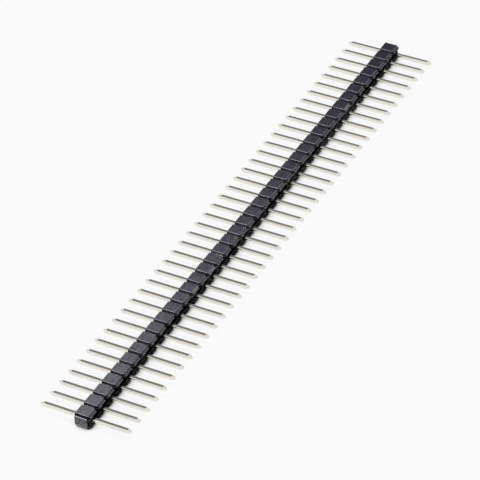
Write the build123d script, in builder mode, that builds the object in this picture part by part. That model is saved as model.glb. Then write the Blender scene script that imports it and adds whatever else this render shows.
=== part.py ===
"""Single-row pin header strip, 40 positions at 2.54 mm, lying on its side.

+X runs along the strip. +Y points along the pins, away from the plain face of the
moulding; -Y is the side of the feet, which stands on a circuit board in use. +Z is up
while the strip lies on a side face. The origin is under the middle of the strip, on
the plane that it rests on.
"""
import os

from build123d import *

# Strip
position_count = 40
pitch = 2.54
body_height = 2.5            # between the two notched side faces
body_width = 2.5             # along the pins, feet included

# Break-off notches between the positions, on both side faces
notch_opening = 0.64
notch_floor = 0.20
notch_depth = 0.42
edge_radius = 0.08           # on the long edges beside each notch

# Feet that hold the moulding off the board
foot_height = 0.40
foot_slot = 1.38             # open channel between the two rows of feet
foot_tip_length = 1.65
foot_face_inset = 0.28       # the feet lean in from the side faces
foot_end_inset = 0.13        # and from the ends of each position
foot_step = 0.04             # narrow ledge of the bar around each foot

# Pins
pin_size = 0.64
pin_edge_bevel = 0.08
plain_side_length = 6.25
foot_side_length = 6.25
tip_length = 0.60
tip_end_size = 0.30

# Swelling that holds each pin in the moulding
swell_size = 0.78
swell_length = 0.60
pin_clearance = 0.01         # all round, between pin and moulding

# Places worked out from the sizes above
strip_length = position_count * pitch
plain_face_y = body_width / 2
foot_tip_y = -body_width / 2
foot_base_y = foot_tip_y + foot_height
middle_z = body_height / 2
notch_run = (notch_opening - notch_floor) / 2
flat_half = (pitch - notch_opening) / 2
shoulder_half = (pitch - notch_floor) / 2
shoulder_z = middle_z - notch_depth
swell_y = (plain_face_y + foot_base_y) / 2 + swell_length / 2
hole_size = pin_size + 2 * pin_clearance
pocket_size = swell_size + 2 * pin_clearance
pocket_length = swell_length + 2 * pin_clearance
tip_inset = (pin_size - tip_end_size) / 2
plain_tip_y = plain_face_y + plain_side_length
foot_side_tip_y = foot_tip_y - foot_side_length


def across(y):
    """Plane square to the pins at y, seen from the feet, its middle on the pins' axes."""
    return Plane(origin=(0, y, middle_z), x_dir=(1, 0, 0), z_dir=(0, -1, 0))


def eight_corners(flat, flat_z, shoulder, shoulder_z):
    """Corners of a form with two flats, two upright ends and four slanted flanks."""
    quarter = [(shoulder, shoulder_z), (flat, flat_z)]
    upper = quarter + [(-x, z) for x, z in reversed(quarter)]
    return upper + [(-x, -z) for x, z in upper]


# Foot pair: a tapered block under one position, parted by the channel for the pins
with BuildPart() as foot_pair:
    base_flat_z = middle_z - foot_step
    base_shoulder_half = shoulder_half - foot_step
    base_drop = (base_shoulder_half - flat_half) * notch_depth / notch_run
    base = eight_corners(flat_half, base_flat_z, base_shoulder_half, base_flat_z - base_drop)
    tip_flat_half = foot_tip_length / 2
    tip_flat_z = middle_z - foot_face_inset
    tip_shoulder_half = shoulder_half - foot_end_inset
    tip_drop = (tip_shoulder_half - tip_flat_half) * notch_depth / notch_run
    tip = eight_corners(tip_flat_half, tip_flat_z, tip_shoulder_half, tip_flat_z - tip_drop)
    base_points = [(x, foot_base_y, middle_z + z) for x, z in base]
    tip_points = [(x, foot_tip_y, middle_z + z) for x, z in tip]
    ConvexPolyhedron(base_points + tip_points)
    with BuildSketch(across(foot_base_y)):
        Rectangle(pitch, foot_slot)
    extrude(amount=foot_height, mode=Mode.SUBTRACT)

# Housing: the notched bar, its long edges rounded beside each notch
with BuildPart() as housing:
    with BuildSketch(across(plain_face_y)):
        Rectangle(strip_length, body_height)
        with GridLocations(pitch, 0, position_count + 1, 1):
            Polygon(
                (notch_opening / 2, middle_z),
                (-notch_opening / 2, middle_z),
                (-notch_floor / 2, shoulder_z),
                (notch_floor / 2, shoulder_z),
                mode=Mode.SUBTRACT,
            )
            Polygon(
                (-notch_opening / 2, -middle_z),
                (notch_opening / 2, -middle_z),
                (notch_floor / 2, -shoulder_z),
                (-notch_floor / 2, -shoulder_z),
                mode=Mode.SUBTRACT,
            )
    extrude(amount=body_width - foot_height)
    edge_rows = housing.edges().filter_by(Axis.Y).group_by(Axis.Z)
    fillet(edge_rows[0] + edge_rows[-1], radius=edge_radius)

    # Housing: two feet under each position
    with GridLocations(pitch, 0, position_count, 1):
        add(foot_pair.part)

    # Housing: square pin holes, each with a pocket for the swelling
    with BuildSketch(across(plain_face_y)):
        with GridLocations(pitch, 0, position_count, 1):
            Rectangle(hole_size, hole_size)
    extrude(amount=body_width, mode=Mode.SUBTRACT)
    with BuildSketch(across(swell_y + pin_clearance)):
        with GridLocations(pitch, 0, position_count, 1):
            Rectangle(pocket_size, pocket_size)
    extrude(amount=pocket_length, mode=Mode.SUBTRACT)
housing.part.label = "housing"

# Pin: a bevelled square bar with a tapered tip at each end and a swelling
with BuildPart() as pin:
    with BuildSketch(across(plain_tip_y)):
        Rectangle(pin_size, pin_size)
    extrude(amount=plain_tip_y - foot_side_tip_y)
    for end in (-1, 0):
        end_face = pin.faces().sort_by(Axis.Y)[end]
        chamfer(end_face.edges(), length=tip_inset, length2=tip_length, reference=end_face)
    chamfer(pin.edges().filter_by(Axis.Y), length=pin_edge_bevel)
    with BuildSketch(across(swell_y)):
        Rectangle(swell_size, swell_size)
    extrude(amount=swell_length)

os.makedirs("parts", exist_ok=True)
export_step(housing.part, "parts/housing.step")

# One copy of the pin in each hole, counted from the end with the lowest X
for index, place in enumerate(GridLocations(pitch, 0, position_count, 1), start=1):
    name = f"pin_{index:02d}"
    with BuildPart() as seated_pin:
        add(pin.part.moved(Location((place.position.X, 0, 0))))
    seated_pin.part.label = name
    export_step(seated_pin.part, f"parts/{name}.step")
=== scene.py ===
"""Looks of the pin header strip: black moulding, tin-plated pins, white table, soft light."""
from math import cos, radians, sin

import bpy
from mathutils import Matrix, Quaternion, Vector


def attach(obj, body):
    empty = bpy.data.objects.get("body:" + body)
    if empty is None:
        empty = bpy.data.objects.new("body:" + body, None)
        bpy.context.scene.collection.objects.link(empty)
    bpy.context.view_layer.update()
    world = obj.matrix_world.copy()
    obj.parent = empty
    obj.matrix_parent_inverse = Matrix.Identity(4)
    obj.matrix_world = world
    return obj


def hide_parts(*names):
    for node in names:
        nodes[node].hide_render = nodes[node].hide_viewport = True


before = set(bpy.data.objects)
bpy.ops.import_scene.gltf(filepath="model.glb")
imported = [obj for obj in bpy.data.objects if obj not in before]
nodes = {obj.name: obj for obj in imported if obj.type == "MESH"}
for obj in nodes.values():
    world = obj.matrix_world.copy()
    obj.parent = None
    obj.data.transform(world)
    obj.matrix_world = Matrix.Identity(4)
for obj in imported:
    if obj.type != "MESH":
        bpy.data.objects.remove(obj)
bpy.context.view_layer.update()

MM = 0.001

# Sizes of the strip that the shapes and finishes follow
PIN_COUNT = 40
PITCH = 2.54 * MM
STRIP_END = 50.8 * MM
PLAIN_FACE = 1.25 * MM
BAR_FOOT_FACE = -0.85 * MM
FOOT_TIP = -1.25 * MM
TOP = 2.5 * MM
PIN_AXIS_HEIGHT = 1.25 * MM
TAPER_START = 6.9 * MM

# Camera: the photograph's viewing angle
CAMERA_AZIMUTH = -59.727
CAMERA_ELEVATION = 38.349
CAMERA_ROLL = -3.534
CAMERA_PLACE = (-313.327 * MM, -181.060 * MM, 284.144 * MM)
CAMERA_LENS = 224.16
SENSOR_WIDTH = 36.0
CLIP_START = 0.01
CLIP_END = 20.0


def place_camera():
    data = bpy.data.cameras.new("strip_camera")
    data.lens = CAMERA_LENS
    data.sensor_width = SENSOR_WIDTH
    data.clip_start = CLIP_START
    data.clip_end = CLIP_END
    camera = bpy.data.objects.new("strip_camera", data)
    bpy.context.scene.collection.objects.link(camera)
    azimuth = radians(CAMERA_AZIMUTH)
    elevation = radians(CAMERA_ELEVATION)
    back = Vector((sin(azimuth) * cos(elevation), -cos(azimuth) * cos(elevation), sin(elevation)))
    upright = (-back).to_track_quat("-Z", "Y")
    camera.rotation_mode = "QUATERNION"
    camera.rotation_quaternion = upright @ Quaternion((0, 0, 1), radians(CAMERA_ROLL))
    camera.location = CAMERA_PLACE
    bpy.context.scene.camera = camera


place_camera()


# Shader building
def new_material(name):
    material = bpy.data.materials.new(name)
    material.use_nodes = True
    material.node_tree.nodes.clear()
    return material, material.node_tree


def shader(tree, kind, **settings):
    """A node of one kind, with its properties set."""
    node = tree.nodes.new("ShaderNode" + kind)
    for key, value in settings.items():
        setattr(node, key, value)
    return node


def join(tree, source, target):
    tree.links.new(source, target)


def maths(tree, operation, first, second=None):
    """One sum on sockets or plain numbers, its result as a socket."""
    node = shader(tree, "Math", operation=operation)
    for index, value in enumerate((first, second)):
        if value is None:
            continue
        if isinstance(value, (int, float)):
            node.inputs[index].default_value = value
        else:
            join(tree, value, node.inputs[index])
    return node.outputs[0]


def ramp(tree, value, low, high, low_gives=0.0, high_gives=1.0):
    """Smooth change from one number to another as the value goes from low to high."""
    node = shader(tree, "MapRange", interpolation_type="SMOOTHSTEP")
    join(tree, value, node.inputs["Value"])
    node.inputs["From Min"].default_value = low
    node.inputs["From Max"].default_value = high
    node.inputs["To Min"].default_value = low_gives
    node.inputs["To Max"].default_value = high_gives
    return node.outputs["Result"]


def blend(tree, factor, first, second):
    """Colour between two colours."""
    node = shader(tree, "Mix", data_type="RGBA")
    join(tree, factor, node.inputs["Factor"])
    for socket, value in (("A", first), ("B", second)):
        target = next(i for i in node.inputs if i.name == socket and i.type == "RGBA")
        if isinstance(value, tuple):
            target.default_value = (*value, 1)
        else:
            join(tree, value, target)
    return next(o for o in node.outputs if o.type == "RGBA")


def noise(tree, place, stretch, detail=3.0, roughness=0.6):
    """Cloudy pattern on the piece's own coordinates, with its scale per metre on each axis."""
    mapping = shader(tree, "Mapping")
    join(tree, place, mapping.inputs["Vector"])
    mapping.inputs["Scale"].default_value = stretch
    cloud = shader(tree, "TexNoise")
    join(tree, mapping.outputs[0], cloud.inputs["Vector"])
    cloud.inputs["Scale"].default_value = 1.0
    cloud.inputs["Detail"].default_value = detail
    cloud.inputs["Roughness"].default_value = roughness
    return cloud.outputs["Fac"]


def relief(tree, skin, height, strength, depth):
    """Fine bumps of a pattern on a surface."""
    bump = shader(tree, "Bump")
    bump.inputs["Strength"].default_value = strength
    bump.inputs["Distance"].default_value = depth
    join(tree, height, bump.inputs["Height"])
    join(tree, bump.outputs[0], skin.inputs["Normal"])


def glow(tree, strength):
    """White light of the surface's own, its strength from a socket."""
    node = shader(tree, "Emission")
    join(tree, strength, node.inputs["Strength"])
    return node


def show(tree, surface):
    join(tree, surface.outputs[0], shader(tree, "OutputMaterial").inputs["Surface"])


def show_sum(tree, first, second):
    """Two shaders added on one surface."""
    both = shader(tree, "AddShader")
    join(tree, first.outputs[0], both.inputs[0])
    join(tree, second.outputs[0], both.inputs[1])
    show(tree, both)


def piece_finish(name):
    """New material: its surface shader, the piece's own coordinates and their axes."""
    material, tree = new_material(name)
    skin = shader(tree, "BsdfPrincipled")
    show(tree, skin)
    place = shader(tree, "TexCoord").outputs["Object"]
    axis = shader(tree, "SeparateXYZ")
    join(tree, place, axis.inputs[0])
    return material, tree, skin, place, axis.outputs


# Table: plain white, shows its own brightness to the camera and in the metal, and a soft
# dark shade where something lies close to it
TABLE_SIZE = 6.0
TABLE_PAPER = 0.03
TABLE_SHOWN = 0.94
SHADE_REACH = 1.6 * MM
SHADE_DEEP = 0.06
SHADE_ENDS = 0.78            # share of open sky above which there is no shade
SHADE_SAMPLES = 16


def table_material():
    material, tree = new_material("white_table")
    path = shader(tree, "LightPath")
    seen = maths(tree, "MAXIMUM", path.outputs["Is Camera Ray"], path.outputs["Is Glossy Ray"])
    paper = shader(tree, "BsdfDiffuse")
    paper.inputs["Color"].default_value = (TABLE_PAPER, TABLE_PAPER, TABLE_PAPER, 1)
    nook = shader(tree, "AmbientOcclusion", samples=SHADE_SAMPLES)
    nook.inputs["Distance"].default_value = SHADE_REACH
    open_share = ramp(tree, nook.outputs["AO"], 0.0, SHADE_ENDS, SHADE_DEEP, TABLE_SHOWN)
    show_sum(tree, paper, glow(tree, maths(tree, "MULTIPLY", seen, open_share)))
    return material


bpy.ops.object.select_all(action="DESELECT")
bpy.ops.mesh.primitive_plane_add(size=TABLE_SIZE, location=(0, 0, 0))
table = bpy.context.object
table.name = "white_table"
table.data.materials.append(table_material())


# Light: a key softbox over the strip, and three more for the moulding's edges, slopes and end
KEY_PLACE = (-9 * MM, 6 * MM, 103 * MM)
KEY_AIM = (-9 * MM, 0, 0)
KEY_SIZE = 24 * MM
KEY_POWER = 0.075
STRIP_MIDDLE = (0, 0, 0)
EDGE_PLACE = (-82 * MM, 120 * MM, 267 * MM)
EDGE_SIZE = 60 * MM
EDGE_POWER = 1.45
SLOPE_PLACE = (560 * MM, -630 * MM, 306 * MM)
SLOPE_SIZE = 560 * MM
SLOPE_POWER = 3.4
END_PLACE = (-98.6 * MM, 1 * MM, 87 * MM)
END_AIM = (-STRIP_END, 0, PIN_AXIS_HEIGHT)
END_SIZE = 20 * MM
END_POWER = 0.049


def softbox(name, place, aim, size, power):
    data = bpy.data.lights.new(name, "AREA")
    data.shape = "SQUARE"
    data.size = size
    data.energy = power
    lamp = bpy.data.objects.new(name, data)
    bpy.context.scene.collection.objects.link(lamp)
    lamp.location = place
    lamp.visible_camera = False
    lamp.rotation_mode = "QUATERNION"
    lamp.rotation_quaternion = (Vector(aim) - Vector(place)).to_track_quat("-Z", "Y")
    return lamp


key_light = softbox("key_softbox", KEY_PLACE, KEY_AIM, KEY_SIZE, KEY_POWER)
edge_light = softbox("edge_softbox", EDGE_PLACE, STRIP_MIDDLE, EDGE_SIZE, EDGE_POWER)
slope_light = softbox("slope_softbox", SLOPE_PLACE, STRIP_MIDDLE, SLOPE_SIZE, SLOPE_POWER)
end_light = softbox("end_softbox", END_PLACE, END_AIM, END_SIZE, END_POWER)

# Room: dim all round, white where the camera sees it
ROOM_DIM = 0.03


def room():
    world = bpy.data.worlds.new("studio_room")
    bpy.context.scene.world = world
    world.use_nodes = True
    tree = world.node_tree
    tree.nodes.clear()
    out = shader(tree, "OutputWorld")
    path = shader(tree, "LightPath")
    sky = shader(tree, "Background")
    level = maths(tree, "MAXIMUM", path.outputs["Is Camera Ray"], ROOM_DIM)
    join(tree, level, sky.inputs["Strength"])
    join(tree, sky.outputs[0], out.inputs["Surface"])


room()

# White tent that the metal reflects, with a soft dark gap on the far side of the strip
TENT_RADIUS = 2.4
TENT_SEGMENTS = 48
TENT_RINGS = 24
TENT_LEVEL = 0.86
TENT_GAP_TOWARDS = (0.677, 0.40, 0.62)
TENT_GAP_LEVEL = 0.18
TENT_GAP_INNER = cos(radians(9))
TENT_GAP_OUTER = cos(radians(24))


def tent_material():
    material, tree = new_material("tent_cloth")
    place = shader(tree, "TexCoord")
    unit = shader(tree, "VectorMath", operation="NORMALIZE")
    join(tree, place.outputs["Object"], unit.inputs[0])
    along = shader(tree, "VectorMath", operation="DOT_PRODUCT")
    join(tree, unit.outputs["Vector"], along.inputs[0])
    along.inputs[1].default_value = Vector(TENT_GAP_TOWARDS).normalized()
    towards_gap = along.outputs["Value"]
    level = ramp(
        tree, towards_gap, TENT_GAP_OUTER, TENT_GAP_INNER, TENT_LEVEL, TENT_GAP_LEVEL
    )
    show_sum(tree, glow(tree, level), shader(tree, "BsdfTransparent"))
    return material


bpy.ops.object.select_all(action="DESELECT")
bpy.ops.mesh.primitive_uv_sphere_add(
    segments=TENT_SEGMENTS, ring_count=TENT_RINGS, radius=TENT_RADIUS
)
tent = bpy.context.object
tent.name = "white_tent"
tent.data.materials.append(tent_material())
tent.visible_camera = False
tent.visible_diffuse = False
tent.visible_shadow = False


# Patterns of both finishes: most of a cloudy pattern lies between these two values
CLOUD_LOW = 0.3
CLOUD_HIGH = 0.7
FINE_DETAIL = 2.0

# Black moulding: blue-black and darker on the side of the feet as painted shade, dusty in clouds
DUST_SCALE = (1100, 1100, 1100)
DUST_FROM = 0.40
DUST_TO = 0.70
DUST_SHARE = 0.6
DUST_COLOUR = (0.018, 0.017, 0.023)
# Painted shade: across the strip the colour goes from the darker, bluer feet side to the plain
# side
PAINTED_SHADE_FROM = 0.3 * MM
PAINTED_SHADE_TO = 1.1 * MM
FEET_SIDE_PAINTED_SHADE = (0.006, 0.0055, 0.0145)
PLAIN_SIDE_TONE = (0.009, 0.0075, 0.0095)

# Its broken ends: pale and crumbly in a thin layer
CRUMB_SCALE = (5200, 5200, 5200)
CRUMB_DARK = (0.16, 0.16, 0.172)
CRUMB_PALE = (0.36, 0.36, 0.38)
BREAK_LAYER_FROM = 0.065 * MM
BREAK_LAYER_TO = 0.075 * MM
BREAK_ROUGHER = 0.35

# Its gloss: patches and fine grain, smoother in the notches and on the feet
PATCH_SCALE = (2000, 2600, 2600)
PATCH_ROUGHNESS = (0.40, 0.52)
GRAIN_SCALE = (7000, 7000, 7000)
GRAIN_ROUGHNESS = (-0.04, 0.04)
GRAIN_RELIEF = 0.35
GRAIN_DEPTH = 0.006 * MM
NOTCH_SMOOTH_FROM = 0.97 * MM
NOTCH_SMOOTH_TO = 1.00 * MM
NOTCH_SMOOTHER = 0.20
FEET_SMOOTH_FROM = -0.84 * MM
FEET_SMOOTH_TO = -0.90 * MM
FEET_SMOOTHER = 0.14
MOULDING_SPECULAR = 1.0

# A faint dull mark over each pin
MARK_PLACE = 0.45 * MM
MARK_INNER = 0.08 * MM
MARK_OUTER = 0.24 * MM
MARK_ROUGHER = 0.05


def moulding_material():
    material, tree, skin, place, axis = piece_finish("black_moulding")

    # Colour, with painted shade: darker and bluer towards the feet side
    side = ramp(tree, axis["Y"], PAINTED_SHADE_FROM, PAINTED_SHADE_TO)
    tone = blend(tree, side, FEET_SIDE_PAINTED_SHADE, PLAIN_SIDE_TONE)
    cloud = noise(tree, place, DUST_SCALE)
    dusty = ramp(tree, cloud, DUST_FROM, DUST_TO, 0.0, DUST_SHARE)
    whole = blend(tree, dusty, tone, DUST_COLOUR)
    crumbs = noise(tree, place, CRUMB_SCALE, FINE_DETAIL)
    broken = blend(tree, ramp(tree, crumbs, CLOUD_LOW, CLOUD_HIGH), CRUMB_DARK, CRUMB_PALE)
    from_end = maths(tree, "SUBTRACT", STRIP_END, maths(tree, "ABSOLUTE", axis["X"]))
    at_break = ramp(tree, from_end, BREAK_LAYER_FROM, BREAK_LAYER_TO, 1.0, 0.0)
    join(tree, blend(tree, at_break, whole, broken), skin.inputs["Base Color"])

    # Gloss
    grain = noise(tree, place, GRAIN_SCALE, FINE_DETAIL)
    grainy = ramp(tree, grain, CLOUD_LOW, CLOUD_HIGH, *GRAIN_ROUGHNESS)
    patch = noise(tree, place, PATCH_SCALE)
    patchy = ramp(tree, patch, CLOUD_LOW, CLOUD_HIGH, *PATCH_ROUGHNESS)
    turn = maths(tree, "FRACT", maths(tree, "MULTIPLY", axis["X"], 1 / PITCH))
    from_pin = maths(tree, "ABSOLUTE", maths(tree, "SUBTRACT", turn, 0.5))
    in_notch = ramp(tree, from_pin, NOTCH_SMOOTH_FROM / PITCH, NOTCH_SMOOTH_TO / PITCH)
    on_feet = ramp(tree, axis["Y"], FEET_SMOOTH_TO, FEET_SMOOTH_FROM, 1.0, 0.0)
    notch_smooth = maths(tree, "MULTIPLY", in_notch, NOTCH_SMOOTHER)
    feet_smooth = maths(tree, "MULTIPLY", on_feet, FEET_SMOOTHER)
    smoother = maths(tree, "MAXIMUM", notch_smooth, feet_smooth)
    mark_along = maths(tree, "MULTIPLY", from_pin, PITCH)
    mark_across = maths(tree, "SUBTRACT", axis["Y"], MARK_PLACE)
    square_along = maths(tree, "MULTIPLY", mark_along, mark_along)
    square_across = maths(tree, "MULTIPLY", mark_across, mark_across)
    from_mark = maths(tree, "SQRT", maths(tree, "ADD", square_along, square_across))
    on_mark = ramp(tree, from_mark, MARK_INNER, MARK_OUTER, MARK_ROUGHER, 0.0)
    break_rough = maths(tree, "MULTIPLY", at_break, BREAK_ROUGHER)
    rougher = maths(tree, "MAXIMUM", on_mark, break_rough)
    roughness = maths(tree, "SUBTRACT", maths(tree, "ADD", patchy, grainy), smoother)
    join(tree, maths(tree, "ADD", roughness, rougher), skin.inputs["Roughness"])
    skin.inputs["Specular IOR Level"].default_value = MOULDING_SPECULAR
    relief(tree, skin, grain, GRAIN_RELIEF, GRAIN_DEPTH)
    return material


# Tin plating on drawn wire: bright, with faint lines along the pin and duller tips
WIRE_LINE_SCALE = (14000, 260, 14000)
WIRE_ROUGHNESS = (0.13, 0.20)
WIRE_RELIEF = 0.15
WIRE_DEPTH = 0.004 * MM
STAIN_SCALE = (1500, 420, 1500)
STAIN_DETAIL = 4.0
STAIN_FROM = 0.35
STAIN_TO = 0.7
TIN_BRIGHT = (0.86, 0.83, 0.785)
TIN_STAINED = (0.81, 0.77, 0.715)
TIP_FADE = 0.15 * MM
TIP_ROUGHER = 0.08


def plating_material():
    material, tree, skin, place, axis = piece_finish("tin_plating")
    lines = noise(tree, place, WIRE_LINE_SCALE, FINE_DETAIL)
    stain = noise(tree, place, STAIN_SCALE, STAIN_DETAIL)
    tone = blend(tree, ramp(tree, stain, STAIN_FROM, STAIN_TO), TIN_BRIGHT, TIN_STAINED)
    join(tree, tone, skin.inputs["Base Color"])
    skin.inputs["Metallic"].default_value = 1.0
    from_middle = maths(tree, "ABSOLUTE", axis["Y"])
    on_tip = ramp(tree, from_middle, TAPER_START, TAPER_START + TIP_FADE)
    drawn = ramp(tree, lines, CLOUD_LOW, CLOUD_HIGH, *WIRE_ROUGHNESS)
    roughness = maths(tree, "ADD", drawn, maths(tree, "MULTIPLY", on_tip, TIP_ROUGHER))
    join(tree, roughness, skin.inputs["Roughness"])
    relief(tree, skin, lines, WIRE_RELIEF, WIRE_DEPTH)
    return material


moulding = moulding_material()
plating = plating_material()

# Modelling steps shared by the pieces
MERGE_DISTANCE = 0.0005 * MM
FLAT_ANGLE = radians(0.5)
SHARP_ANGLE = radians(25)
NEAR = 0.002 * MM


def whole_faces(node, name):
    """Own copy of a CAD node's mesh, its loose triangles joined into whole faces."""
    piece = bpy.data.objects.new(name, node.data.copy())
    bpy.context.scene.collection.objects.link(piece)
    bpy.ops.object.select_all(action="DESELECT")
    piece.select_set(True)
    bpy.context.view_layer.objects.active = piece
    bpy.ops.object.mode_set(mode="EDIT")
    bpy.ops.mesh.select_all(action="SELECT")
    bpy.ops.mesh.remove_doubles(threshold=MERGE_DISTANCE)
    bpy.ops.mesh.dissolve_limited(angle_limit=FLAT_ANGLE)
    bpy.ops.object.mode_set(mode="OBJECT")
    return piece


def round_edges(piece, wanted, radius, steps, hidden):
    """Rounds the sharp edges whose two ends both answer to the test.

    A face that is sharp all round has its whole outline rounded too, unless it is hidden.
    """
    bpy.ops.object.mode_set(mode="EDIT")
    bpy.ops.mesh.select_mode(type="EDGE")
    bpy.ops.mesh.select_all(action="DESELECT")
    bpy.ops.mesh.edges_select_sharp(sharpness=SHARP_ANGLE)
    bpy.ops.object.mode_set(mode="OBJECT")
    points = piece.data.vertices
    for edge in piece.data.edges:
        ends = [points[index].co for index in edge.vertices]
        edge.select = edge.select and all(wanted(end) for end in ends)
    for face in piece.data.polygons:
        if all(hidden(points[index].co) for index in face.vertices):
            face.select = False
    bpy.ops.object.mode_set(mode="EDIT")
    bpy.ops.mesh.bevel(
        offset=radius,
        segments=steps,
        affect="EDGES",
        clamp_overlap=False,
        loop_slide=False,
    )
    bpy.ops.object.mode_set(mode="OBJECT")


def pick_faces(piece, wanted):
    """Selects the faces whose every corner answers to the test."""
    bpy.ops.object.mode_set(mode="EDIT")
    bpy.ops.mesh.select_mode(type="FACE")
    bpy.ops.mesh.select_all(action="DESELECT")
    bpy.ops.object.mode_set(mode="OBJECT")
    points = piece.data.vertices
    for face in piece.data.polygons:
        face.select = all(wanted(points[index].co) for index in face.vertices)
    bpy.ops.object.mode_set(mode="EDIT")


def pick_points(piece, wanted):
    bpy.ops.object.mode_set(mode="EDIT")
    bpy.ops.mesh.select_mode(type="VERT")
    bpy.ops.mesh.select_all(action="DESELECT")
    bpy.ops.object.mode_set(mode="OBJECT")
    for point in piece.data.vertices:
        point.select = wanted(point.co)
    bpy.ops.object.mode_set(mode="EDIT")


def near(value, place):
    return abs(value - place) < NEAR


def along_from_pin(point):
    """Distance along the strip from the nearest pin's axis."""
    return abs((point.x / PITCH) % 1.0 - 0.5) * PITCH


def from_pin_axis(point):
    """Half the side of the square round the nearest pin's axis that the point is on."""
    return max(along_from_pin(point), abs(point.z - PIN_AXIS_HEIGHT))


# Places on the pieces
PIN_HOLE_HALF = 0.34 * MM
POCKET_HALF = 0.42 * MM
SWELLING_FROM = -0.11 * MM
SWELLING_TO = 0.51 * MM
RIDGE_HALF = 0.9 * MM
FOOT_OUTER = 0.9 * MM


def in_pin_hole(point):
    """On the pin's straight body, or on the hole that it fills."""
    return from_pin_axis(point) < PIN_HOLE_HALF


def in_pocket(point):
    """In the pin's hole or in the pocket for its swelling."""
    return from_pin_axis(point) < POCKET_HALF


def on_swelling(point):
    return SWELLING_FROM < point.y < SWELLING_TO


def on_plain_outline(point):
    return near(point.y, PLAIN_FACE) and not in_pin_hole(point)


def on_foot_tip(point):
    """Outer edge of a foot's tip, away from the channel for the pins."""
    return near(point.y, FOOT_TIP) and abs(point.z - PIN_AXIS_HEIGHT) > FOOT_OUTER


def on_ridge(point):
    """Where the bar's top or underside ends above the feet."""
    level = near(point.z, 0) or near(point.z, TOP)
    return near(point.y, BAR_FOOT_FACE) and level and along_from_pin(point) < RIDGE_HALF


# Broken ends of the web between two positions
WEB_LOW = 0.42 * MM
WEB_HIGH = 2.08 * MM
BREAK_CELL = 0.18 * MM
BREAK_RIM = 0.09 * MM
BREAK_ROUGH = 0.03 * MM
BREAK_SEED = 5


def snap_end(piece, side):
    """Crumbles the end of the web, where the strip was snapped off the next one."""
    end = side * STRIP_END

    def on_break(point):
        return near(point.x, end)

    def inside_rim(point):
        across = BAR_FOOT_FACE + BREAK_RIM < point.y < PLAIN_FACE - BREAK_RIM
        upright = WEB_LOW + BREAK_RIM < point.z < WEB_HIGH - BREAK_RIM
        return on_break(point) and across and upright

    for start, stop, normal in (
        (BAR_FOOT_FACE, PLAIN_FACE, (0, 1, 0)),
        (WEB_LOW, WEB_HIGH, (0, 0, 1)),
    ):
        count = round((stop - start) / BREAK_CELL)
        for step in range(1, count):
            place = start + (stop - start) * step / count
            pick_faces(piece, on_break)
            bpy.ops.mesh.bisect(plane_co=[place * share for share in normal], plane_no=normal)
    pick_points(piece, inside_rim)
    bpy.ops.transform.translate(value=(-side * BREAK_ROUGH, 0, 0))
    bpy.ops.transform.vertex_random(offset=BREAK_ROUGH, normal=1.0, seed=BREAK_SEED + side)
    bpy.ops.object.mode_set(mode="OBJECT")


# Moulded strip
RIM_RADIUS = 0.06 * MM
FOOT_TIP_RADIUS = 0.08 * MM
RIM_STEPS = 4
RIDGE_RADIUS = 0.03 * MM
FINE_STEPS = 3

strip = whole_faces(nodes["housing"], "moulded_strip")
round_edges(strip, on_plain_outline, RIM_RADIUS, RIM_STEPS, in_pocket)
round_edges(strip, on_foot_tip, FOOT_TIP_RADIUS, RIM_STEPS, in_pocket)
round_edges(strip, on_ridge, RIDGE_RADIUS, FINE_STEPS, in_pocket)
snap_end(strip, -1)
snap_end(strip, 1)
for point in strip.data.vertices:
    point.co.x = min(max(point.co.x, -STRIP_END), STRIP_END)
    point.co.z = min(max(point.co.z, 0), TOP)
strip.data.materials.clear()
strip.data.materials.append(moulding)
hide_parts("housing")
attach(strip, "root")

# Plated pins: the first is modelled, the others are copies of it
PIN_EDGE_RADIUS = 0.055 * MM

first_pin = whole_faces(nodes["pin_01"], "plated_pin_01")
round_edges(first_pin, in_pin_hole, PIN_EDGE_RADIUS, FINE_STEPS, on_swelling)
first_pin.data.materials.clear()
first_pin.data.materials.append(plating)
metal = bpy.data.collections.new("metal_pieces")
for count in range(1, PIN_COUNT + 1):
    piece = first_pin
    if count > 1:
        piece = bpy.data.objects.new(f"plated_pin_{count:02d}", first_pin.data.copy())
        bpy.context.scene.collection.objects.link(piece)
        piece.data.transform(Matrix.Translation(((count - 1) * PITCH, 0, 0)))
    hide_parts(f"pin_{count:02d}")
    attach(piece, "root")
    metal.objects.link(piece)

# What each light reaches: the metal mirrors the tent and the table alone
plastic = bpy.data.collections.new("plastic_pieces")
plastic.objects.link(strip)
for lamp in (edge_light, slope_light, end_light):
    lamp.light_linking.receiver_collection = plastic
matte = bpy.data.collections.new("matte_pieces")
matte.objects.link(strip)
matte.objects.link(table)
key_light.light_linking.receiver_collection = matte
table.light_linking.receiver_collection = metal
tent.light_linking.receiver_collection = metal

scene = bpy.context.scene
scene.view_settings.view_transform = "Standard"

bpy.context.view_layer.update()
